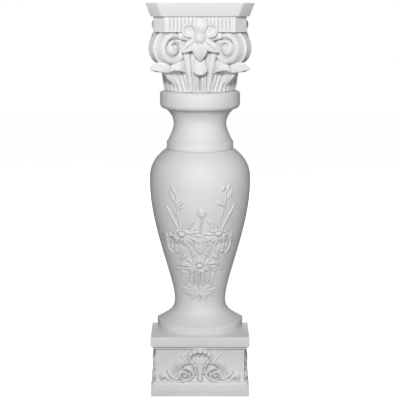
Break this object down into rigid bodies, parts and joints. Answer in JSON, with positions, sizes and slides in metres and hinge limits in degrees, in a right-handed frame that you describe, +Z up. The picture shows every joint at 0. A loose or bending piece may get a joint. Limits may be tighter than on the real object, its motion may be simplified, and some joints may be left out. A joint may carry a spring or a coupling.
{
  "type": "half column",
  "caption": "Half-round decorative column: square plinth, vase-shaped shaft with a floral relief, and a leafy capital with corner volutes, with a flat back for a wall.",
  "frame": {"origin": "middle of the bounding box's underside, on the plinth's underside", "axes": "+Z up the column, -Y out of the wall towards the viewer, +Y into the wall, +X to the viewer's right"},
  "size_m": [0.2656, 0.1328, 1.0028],
  "materials": {
    "primed_white": "matte, factory primed"
  },
  "bodies": {
    "root": {"capital": "primed_white", "shaft": "primed_white", "plinth": "primed_white"}
  },
  "joints": []
}
